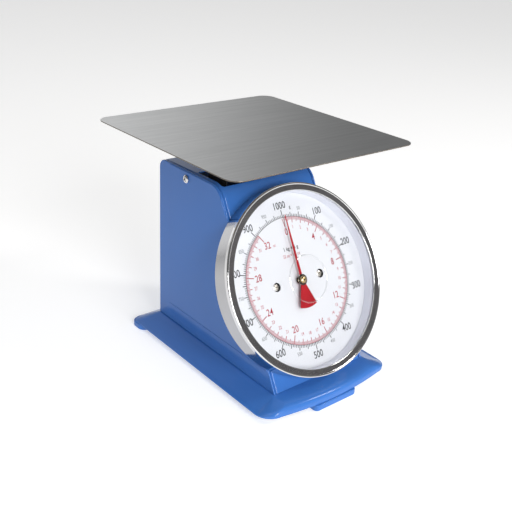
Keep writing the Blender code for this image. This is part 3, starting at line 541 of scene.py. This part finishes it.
def side_panels():
    """Each side with its raised field, and a groove pressed under the field's foot."""
    outline = [(BODY_REAR, BODY_BOTTOM), *reversed(housing_profile())]
    rear, foot, margin = 0.0792, 0.0400, 0.0012
    field = [(rear, foot), (rear, BODY_TOP - margin), *reversed(front_arc(FRONT_ROUND - margin)),
             (front_y(foot) + margin / cos(DIAL_TILT), foot)]
    width, depth, start = 0.0007, 0.0006, front_y(foot) + 0.004
    line = [(start, foot - width), (rear + width, foot - width), (rear + width, foot),
            (start, foot)]
    for side, name in ((-1, "left"), (1, "right")):
        low, high = sorted((side * (BODY_HALF - SIDE_SHEET), side * BODY_HALF))
        mesh = slab_mesh(name, outline, low, high, 0.0009, SIDE_FRAME, rounds=4)
        made = put(name + "_side", mesh, LOOKS["blue_paint"])
        low, high = sorted((side * (BODY_HALF - 0.0012), side * (BODY_HALF + FIELD_RISE)))
        raised = slab_mesh("field", field, low, high, 0.0006, SIDE_FRAME, rounds=3)
        made = combined(made, raised, 'UNION')
        low, high = sorted((side * (BODY_HALF - depth), side * (BODY_HALF + 0.001)))
        groove = slab_mesh("groove", line, low, high, 0.00002, SIDE_FRAME, rounds=0)
        made = even(combined(made, groove, 'DIFFERENCE'))
        shows(made, "housing", "blue_paint", name + "_side_panel")


def front_sheet():
    """The wrap-round front with its turned edges, and the slot in its top."""
    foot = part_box("front_panel")[0].z
    profile = [(front_y(foot), foot), *housing_profile()[1:], (BODY_REAR, 0.1905)]
    flange, bend = 0.008, 0.0026
    across = [(-PANEL_HALF, flange)]
    across += [(-PANEL_HALF + bend - bend * cos(t), bend - bend * sin(t))
               for t in (pi / 2 * i / 6 for i in range(7))]
    across += [(-x, inset) for x, inset in reversed(across)]
    rows = []
    for i, (y, z) in enumerate(profile):
        before, after = profile[max(i - 1, 0)], profile[min(i + 1, len(profile) - 1)]
        along = Vector((after[0] - before[0], after[1] - before[1])).normalized()
        inward = Vector((along.y, -along.x))
        if i == 0:
            inward = Vector((1 / cos(DIAL_TILT), 0))
        rows.append([(x, y + inward.x * inset, z + inward.y * inset) for x, inset in across])
    mesh = grid_mesh("front_sheet", rows[::-1], False)
    made = sheeted(put("front_sheet", mesh, LOOKS["blue_paint"]))
    slot = slab_mesh("slot", rounded((-0.056, -0.005), (0.056, 0.038), 0.003, 5),
                     BODY_TOP - 0.004, BODY_TOP + 0.004, 0.0001, rounds=0)
    made = even(combined(made, slot, 'DIFFERENCE'))
    shows(made, "housing", "blue_paint", "front_panel")


def rear_sheet():
    """The rear cover and its four screws."""
    screws = [(-0.024, 0.034), (0.024, 0.034), (-0.024, 0.172), (0.024, 0.172)]
    holes = [circle((x, z), 0.0019, 24)[::-1] for x, z in screws]
    mesh = slab_mesh("rear", rounded((-0.0594, 0.0192), (0.0594, 0.1898), 0.004), -BODY_REAR,
                     -BODY_REAR + COVER_SHEET, 0.0003, BACK_FRAME, holes, 2)
    shows(even(put("rear_sheet", mesh, LOOKS["blue_paint"])), "housing", "blue_paint",
          "rear_cover")
    for i, (x, z) in enumerate(screws, 1):
        place = (Matrix.Translation((x, BODY_REAR + GAP, z))
                 @ Matrix.Rotation(-pi / 2, 4, 'X') @ Matrix.Rotation(0.5 * i, 4, 'Z'))
        screw(f"rear_cover_screw_{i}", place, 0.0034, 0.0018, 0.0015, 0.0040, f"rear_screw_{i}")


def screw(name, place, radius, height, shank, depth, node, look=LOOKS["chrome"]):
    """A pan-head screw with a cross recess."""
    shoulder = height - radius * 0.35
    crown = [(radius * sin(t), shoulder + (height - shoulder) * cos(t))
             for t in (radians(a) for a in range(0, 91, 9))]
    profile = [*crown, (radius * 0.97, 0), (shank, 0), (shank, -depth), (0, -depth)]
    made = put(name, revolved_mesh(name, profile, place, 40, False), look)
    arm, half = radius * 0.58, radius * 0.15
    for x, y in ((half, arm), (arm, half)):
        recess = slab_mesh("recess", rounded((-x, -y), (x, y), half * 0.8, 4),
                           height - radius * 0.32, height * 1.5, 0.00002, place, rounds=0)
        made = combined(made, recess, 'DIFFERENCE')
    shows(even(made), "housing", "chrome", node)


def side_screws():
    """One screw near the top of each side."""
    for side, name in ((-1, "left"), (1, "right")):
        place = (Matrix.Translation((side * (side_high.x + GAP), 0.0472, 0.1988))
                 @ Matrix.Rotation(side * pi / 2, 4, 'Y') @ Matrix.Rotation(0.6, 4, 'Z'))
        screw(name + "_housing_screw", place, 0.0044, 0.0022, 0.0014, SIDE_SHEET,
              name + "_side_screw")


# ---------------------------------------------------------------- dial
def dial_body():
    """The case, the rolled bezel and the white wall, turned about the dial's axis."""
    case = [(0.0983, 0.0134), (0.0983, -0.0064), (0.0980, -0.0067), (0.0034, -0.0067),
            (0.0034, -0.0059), (0.0975, -0.0059), (0.0975, 0.0134)]
    mesh = revolved_mesh("case", case, DIAL, ROUND_STEPS)
    shows(even(put("chrome_case", mesh, CASE_CHROME)), "housing", "chrome", "dial_case")

    lip = arc((0.0917, 0.0157), 0.0006, 180, 85, 8)
    roll = arc((0.0981, 0.0156), 0.0013, 140, -35, 22)
    ring = [(0.0911, 0.0146), *lip, (0.0921, 0.0163), (0.0967, 0.0163), *roll,
            (0.0990, 0.0115), (0.0986, 0.0115), (0.0986, 0.0146)]
    mesh = revolved_mesh("bezel", ring, DIAL, ROUND_STEPS)
    shows(even(put("rolled_bezel", mesh, BEZEL_CHROME, 50)), "housing", "chrome", "bezel")

    wall = [(0.0971, 0.0128), (0.0971, 0.0116), (0.0928, 0.0116), (0.0928, 0.0003),
            (0.0912, 0.0003), (0.0914, 0.0008), (0.0916, 0.0128)]
    mesh = revolved_mesh("wall", wall, DIAL, ROUND_STEPS)
    shows(even(put("white_wall", mesh, LOOKS["white_plastic"])), "housing", "white_plastic",
          "dial_ring")


def cover_lens():
    """The clear cover: a shallow dome with a moulded circle, and a flat rim."""
    rim, edge, rise, dome, thick = 0.0143, 0.0970, 0.0022, 0.0900, 0.0012
    rib_half, rib_height = 0.0012, 0.0005

    def height(r):
        return rim + rise * (1 - (min(r, dome) / dome) ** 2)

    radii = [dome * i / 18 for i in range(19)]
    top = [(r, height(r)) for r in radii if abs(r - RIB_RADIUS) > 0.0014]
    for d in (rib_half * k / 4 for k in range(-4, 5)):
        swell = rib_height * (0.5 + 0.5 * cos(pi * d / rib_half))
        top.append((RIB_RADIUS + d, height(RIB_RADIUS + d) + swell))
    top.sort()
    under = [(r, height(r) - thick) for r in reversed(radii)]
    profile = [*top, (edge, rim), (edge, rim - thick), *under]
    mesh = revolved_mesh("cover", profile, DIAL, 128, False)
    made = put("clear_cover", mesh, LOOKS["clear_lens"], 60)
    shows(made, "housing", "clear_lens", "lens")


def dial_face():
    """The white face with its two windows, and the case screws behind them."""
    plate = [(0.0965, 0.0), (0.0965, FACE_BACK), (0.0957, FACE_BACK), (0.0957, -0.0008),
             (0.0034, -0.0008), (0.0034, 0.0)]
    hole = [(0, 0.002), (0.0047, 0.002), (0.0047, -0.002), (0, -0.002)]
    made = put("dial_face", revolved_mesh("face", plate, DIAL, 160), LOOKS["dial_white"])
    for x in (-WINDOW_X, WINDOW_X):
        window = revolved_mesh("window", hole, DIAL @ Matrix.Translation((x, 0, 0)), 48, False)
        made = combined(made, window, 'DIFFERENCE')
    shows(even(made), "housing", "dial_white", "dial_plate")
    for name, x, turn in (("left", -WINDOW_X, 0.3), ("right", WINDOW_X, 0.9)):
        place = DIAL @ Matrix.Translation((x, 0, FACE_BACK)) @ Matrix.Rotation(turn, 4, 'Z')
        screw(name + "_case_screw", place, 0.0040, 0.0048, 0.0015, 0.0062,
              name + "_dial_screw", SCREW_HEAD)


PRINT_LOW, PRINT_HIGH = 0.00002, 0.00006     # the ink's underside and top, over the face


class Print:
    """Marks of one ink, gathered in one mesh on the dial's plane."""

    def __init__(self, name, ink, lift=0.0):
        self.name, self.ink = name, ink
        self.low, self.high = PRINT_LOW + lift, PRINT_HIGH + lift
        self.solid = bmesh.new()

    def prism(self, corners):
        """A flat mark with these corners, as thick as the ink."""
        low = [self.solid.verts.new((x, y, self.low)) for x, y in corners]
        high = [self.solid.verts.new((x, y, self.high)) for x, y in corners]
        self.solid.faces.new(low[::-1])
        self.solid.faces.new(high)
        count = len(corners)
        for i in range(count):
            j = (i + 1) % count
            self.solid.faces.new((low[i], low[j], high[j], high[i]))

    def tick(self, turn, inner, outer, width):
        """A radial mark; turn is clockwise from the top, in degrees."""
        out = Vector((sin(radians(turn)), cos(radians(turn))))
        side = Vector((out.y, -out.x)) * width / 2
        self.prism([(out * inner - side), (out * inner + side), (out * outer + side),
                    (out * outer - side)])

    def ticks(self, first, count, step, kinds):
        """Marks at equal steps; each takes the first kind whose interval it falls on."""
        for i in range(first, count):
            inner, outer, width = next(size for every, *size in kinds if i % every == 0)
            self.tick(i * step, inner, outer, width)

    def line(self, start, end, width):
        """A straight mark between two points."""
        a, b = Vector(start), Vector(end)
        side = Vector(((b - a).y, -(b - a).x)).normalized() * width / 2
        self.prism([a - side, a + side, b + side, b - side])

    def ring(self, radius, width, first=0.0, last=360.0):
        """A thin circle, or the part of it between two turns in degrees."""
        steps = round((last - first) / 1.5)
        for i in range(steps):
            a, b = (radians(first + (last - first) * k / steps) for k in (i, i + 1))
            inner, outer = radius - width / 2, radius + width / 2
            self.prism([(inner * sin(a), inner * cos(a)), (inner * sin(b), inner * cos(b)),
                        (outer * sin(b), outer * cos(b)), (outer * sin(a), outer * cos(a))])

    def text(self, words, x, y, height, narrow=0.82, weight=0.0):
        """Words centred on (x, y); height is that of a capital."""
        curve = bpy.data.curves.new("words", 'FONT')
        curve.body = words
        curve.align_x, curve.align_y = 'CENTER', 'CENTER'
        curve.size = height / 0.70
        curve.offset = weight
        curve.extrude = (PRINT_HIGH - PRINT_LOW) / 2
        curve.resolution_u = 3
        guide = bpy.data.objects.new("words", curve)
        bpy.context.scene.collection.objects.link(guide)
        mesh = tidied(shape_of(guide), Matrix.Translation((x, y, (self.low + self.high) / 2))
                      @ Matrix.Diagonal((narrow, 1, 1, 1)))
        self.solid.from_mesh(mesh)
        bpy.data.meshes.remove(mesh)

    def done(self):
        """Lay the marks on the face as one piece."""
        bmesh.ops.transform(self.solid, matrix=DIAL, verts=self.solid.verts)
        mesh = bpy.data.meshes.new(self.name)
        self.solid.to_mesh(mesh)
        self.solid.free()
        made = put(self.name, mesh, INKS[self.ink], 30)
        shows(made, "housing", "dial_white")


def at(turn, radius):
    """The point at a radius and a clockwise turn from the top, in degrees."""
    return radius * sin(radians(turn)), radius * cos(radians(turn))


GRAM = 0.36                     # degrees on the dial: one turn is 1000 g
OUNCE = 28.3495 * GRAM
# Marks: every how many divisions, inner and outer radius, width
GRAM_TICKS = ((20, 0.0665, 0.0744, 0.00085), (10, 0.0665, 0.0720, 0.00080),
              (5, 0.0667, 0.0712, 0.00078), (1, 0.0667, 0.0693, 0.00070))
OUNCE_TICKS = ((32, 0.0570, 0.0660, 0.00085), (8, 0.0602, 0.0660, 0.00075),
               (4, 0.0618, 0.0660, 0.00066), (1, 0.0632, 0.0660, 0.00060))


def gram_scale():
    """The outer scale: 200 divisions of 5 g, with a number at every 50 g."""
    dark, pale = Print("gram_marks", "black", 0.00003), Print("gram_divisions", "grey")
    dark.ticks(0, 200, 5 * GRAM, GRAM_TICKS)
    dark.ring(0.0667, 0.00045)
    numeral = (0.0074, 0.80, 0.00008)
    for grams in range(100, 1000, 100):
        dark.text(str(grams), *at(grams * GRAM, 0.0794), *numeral)
    dark.text("1000", -0.0010, 0.0788, *numeral)
    dark.text("g", 0.0124, 0.0756, 0.0036, 0.82, 0.00004)
    for grams in range(50, 1000, 100):
        pale.text(str(grams), *at(grams * GRAM, 0.0756), 0.0037, 0.80, 0.00003)
    dark.text("1 kg × 5 g", 0.0, 0.0340, 0.0038, 0.92, 0.00008)
    dark.done()
    pale.done()


def ounce_scale():
    """The inner scale: 32 ounces in eighths, with an arrow at zero."""
    dark, pale = Print("ounce_marks", "red", 0.00002), Print("ounce_divisions", "pale_red")
    dark.ticks(1, 32 * 8 + 1, OUNCE / 8, OUNCE_TICKS)
    pale.ring(0.0660, 0.00040, 0.0, 32 * OUNCE)
    numeral, numeral_radius = (0.0071, 0.82, 0.00006), 0.0512
    dark.line((-0.0013, 0.0655), (0.0000, 0.0560), 0.00060)
    dark.line((0.0013, 0.0655), (0.0000, 0.0560), 0.00060)
    for value in range(1, 33):
        turn = value * OUNCE
        if value % 4 == 0:
            dark.text(str(value), *at(turn, numeral_radius), *numeral)
        else:
            pale.text(str(value), *at(turn, 0.0556), 0.0034, 0.80, 0.00002)
    dark.text("0", 0.0, numeral_radius, *numeral)
    x, y = at(32 * OUNCE, numeral_radius)
    pale.text("oz", x + 0.0086, y - 0.0014, 0.0030)
    pale.text("32 oz × 1/8 oz", -0.0010, 0.0270, 0.0034, 0.80, 0.00003)
    dark.done()
    pale.done()


def hand():
    """A ridged blade and a flat fan-shaped tail in one sheet, with its washer, cap and boss."""
    low, high, boss, tail, half_fan = 0.0049, 0.0055, 0.0042, 0.0294, 22.5
    outline = arc((0, 0), tail, 270 - half_fan, 270 + half_fan, 24)
    outline += arc((0, 0), boss, -50, 230, 30)
    fan = slab_mesh("fan", outline, low, high, 0.00012, rounds=2)
    made = put("red_pointer", fan, LOOKS["pointer_red"])
    # distance from the hub and half width
    stations = ((0.0020, 0.00185), (0.0200, 0.00160), (0.0450, 0.00120), (0.0690, 0.00050))
    rows = [[(-w, y, low + 0.0001), (w, y, low + 0.0001), (w, y, low + 0.00016),
             (0, y, high - 0.00002), (-w, y, low + 0.00016)] for y, w in stations]
    blade = grid_mesh("blade", rows, True)
    solid = bmesh.new()
    solid.from_mesh(blade)
    bmesh.ops.holes_fill(solid, edges=solid.edges)
    bmesh.ops.recalc_face_normals(solid, faces=solid.faces)
    solid.to_mesh(blade)
    solid.free()
    made = combined(made, blade, 'UNION')
    shaft = revolved_mesh("bore", [(0, 0.01), (0.0013, 0.01), (0.0013, 0), (0, 0)],
                          Matrix.Identity(4), 24, False)
    made = combined(made, shaft, 'DIFFERENCE')
    made.data.transform(DIAL)
    shows(even(made), "pointer_assembly", "pointer_red", "pointer")

    washer = [(0.0056, 0.0063), (0.0058, 0.0062), (0.0058, 0.0059), (0.0056, 0.0058),
              (0.0013, 0.0058), (0.0013, 0.0063)]
    mesh = revolved_mesh("washer", washer, DIAL, 64)
    shows(even(put("dark_washer", mesh, LOOKS["dark_steel"])), "pointer_assembly",
          "dark_steel", "pointer_washer")
    dome = [(0.0040 * sin(t), 0.0069 + 0.0022 * cos(t))
            for t in (radians(a) for a in range(0, 91, 6))]
    mesh = revolved_mesh("cap", [*dome, (0.0040, 0.0066), (0, 0.0066)], DIAL, 64, False)
    shows(even(put("brass_cap", mesh, LOOKS["brass"])), "pointer_assembly", "brass",
          "pointer_cap")
    boss_profile = [(0.0029, 0.0046), (0.0029, 0.0015), (0.0013, 0.0015), (0.0013, 0.0046)]
    mesh = revolved_mesh("boss", boss_profile, DIAL, 48)
    shows(put("brass_boss", mesh, LOOKS["brass"]), "pointer_assembly", "brass", "pointer_boss")


# ---------------------------------------------------------------- platform
def platform():
    """The square platform, flat with round corners."""
    low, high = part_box("platform")
    outline = rounded((low.x, low.y), (high.x, high.y), 0.014, 20)
    mesh = slab_mesh("tray", outline, low.z, high.z, 0.00045, rounds=3)
    shows(even(put("steel_platform", mesh, LOOKS["stainless"])), "carriage", "stainless",
          "platform")


def inner_pieces():
    """CAD pieces that keep their own shape take their slot's finish."""
    slots = {row["node"]: row["material_slot"] for row in frame["record"]["subparts"]}
    for name, made in frame["nodes"].items():
        if made.hide_render:
            continue
        made.data.materials.clear()
        made.data.materials.append(LOOKS[slots[name]])


# ---------------------------------------------------------------- studio
AMBIENT = 0.17
# Bright and dark quarters: the way to each, its half width in degrees, its soft edge, its level
QUARTERS = (
    ((0.60, -0.72, 0.33), 22, 18, 0.02),        # the dial's chrome mirrors it
    ((0.08, 0.96, 0.27), 12, 30, 0.92),         # bright: the left of the platform mirrors it
)
# Lights: name, place, width, power, colour
LIGHTS = (
    ("key", (1.32, -1.37, 1.63), 0.45, 14, (1.0, 0.98, 0.95)),
    ("front_left", (-0.50, -2.20, 1.10), 1.20, 43, (1, 1, 1)),
    ("front_low", (0.10, -2.40, 0.55), 1.20, 5, (1, 1, 1)),
    ("top", (-0.60, 0.20, 2.60), 1.80, 9, (1, 1, 1)),
)
LIGHT_AIM = Vector((0, 0, 0.12))
FLOOR_REACH, FLOOR_GLOW = 14.0, 0.50
CAMERA_PLACE = (-0.4949, -0.5751, 0.4628)
CAMERA_YAW, CAMERA_PITCH, CAMERA_ROLL = -0.7077, -0.4318, 0.0553
FOCAL_LENGTH, SENSOR_WIDTH = 53.93, 36.0     # in mm


def world():
    """A soft studio with brighter and darker quarters, which the steel and the chrome mirror."""
    made = bpy.data.worlds.new("studio")
    bpy.context.scene.world = made
    made.use_nodes = True
    tree = made.node_tree
    background = tree.nodes["Background"]
    background.inputs["Color"].default_value = (1.0, 0.998, 0.995, 1)
    place = tree.nodes.new("ShaderNodeTexCoord").outputs["Generated"]
    total = AMBIENT
    for toward, half, soft, level in QUARTERS:
        near = tree.nodes.new("ShaderNodeVectorMath")
        near.operation = 'DOT_PRODUCT'
        near.inputs[1].default_value = Vector(toward).normalized()
        tree.links.new(place, near.inputs[0])
        fade = remap(tree, near.outputs["Value"], cos(radians(half + soft)), cos(radians(half)),
                     0.0, 1.0)
        fade.node.interpolation_type = 'SMOOTHSTEP'
        total = maths(tree, 'MULTIPLY_ADD', fade, level, total)
    tree.links.new(total, background.inputs["Strength"])


def area_light(name, place, size, energy, colour):
    """A round lamp that faces the object."""
    data = bpy.data.lights.new(name, 'AREA')
    data.shape = 'DISK'
    data.size, data.energy, data.color = size, energy, colour
    made = bpy.data.objects.new(name, data)
    bpy.context.scene.collection.objects.link(made)
    made.location = place
    made.rotation_euler = (LIGHT_AIM - Vector(place)).to_track_quat('-Z', 'Y').to_euler()


def floor():
    """A wide white floor with a glow of its own, so that it fades into the light."""
    mesh = bpy.data.meshes.new("floor")
    reach = FLOOR_REACH
    mesh.from_pydata([(-reach, -reach, 0), (reach, -reach, 0), (reach, reach, 0),
                      (-reach, reach, 0)], [], [(0, 1, 2, 3)])
    made = bpy.data.objects.new("floor", mesh)
    bpy.context.scene.collection.objects.link(made)
    look, _, shader = new_material("floor", (0.80, 0.80, 0.80), 0.0, 0.9)
    shader.inputs["Emission Color"].default_value = (1, 1, 1, 1)
    shader.inputs["Emission Strength"].default_value = FLOOR_GLOW
    mesh.materials.append(look)


def camera():
    """The main view: from the left, above and in front of the dial."""
    yaw, pitch, roll = CAMERA_YAW, CAMERA_PITCH, CAMERA_ROLL
    ahead = Vector((-sin(yaw) * cos(pitch), cos(yaw) * cos(pitch), sin(pitch)))
    level = Vector((cos(yaw), sin(yaw), 0))
    upright = level.cross(ahead)
    right = cos(roll) * level + sin(roll) * upright
    up = -sin(roll) * level + cos(roll) * upright
    turn = Matrix((right, up, -ahead)).transposed()
    data = bpy.data.cameras.new("camera")
    data.sensor_width, data.lens = SENSOR_WIDTH, FOCAL_LENGTH
    data.clip_start, data.clip_end = 0.01, 60
    made = bpy.data.objects.new("camera", data)
    bpy.context.scene.collection.objects.link(made)
    made.matrix_world = Matrix.Translation(CAMERA_PLACE) @ turn.to_4x4()
    bpy.context.scene.camera = made


def studio():
    """World, lights, floor and camera."""
    bpy.context.scene.view_settings.view_transform = 'Standard'
    world()
    for light in LIGHTS:
        area_light(*light)
    floor()
    camera()


# ---------------------------------------------------------------- assembly
base()
side_panels()
front_sheet()
rear_sheet()
side_screws()
dial_body()
cover_lens()
dial_face()
gram_scale()
ounce_scale()
hand()
platform()
inner_pieces()
studio()
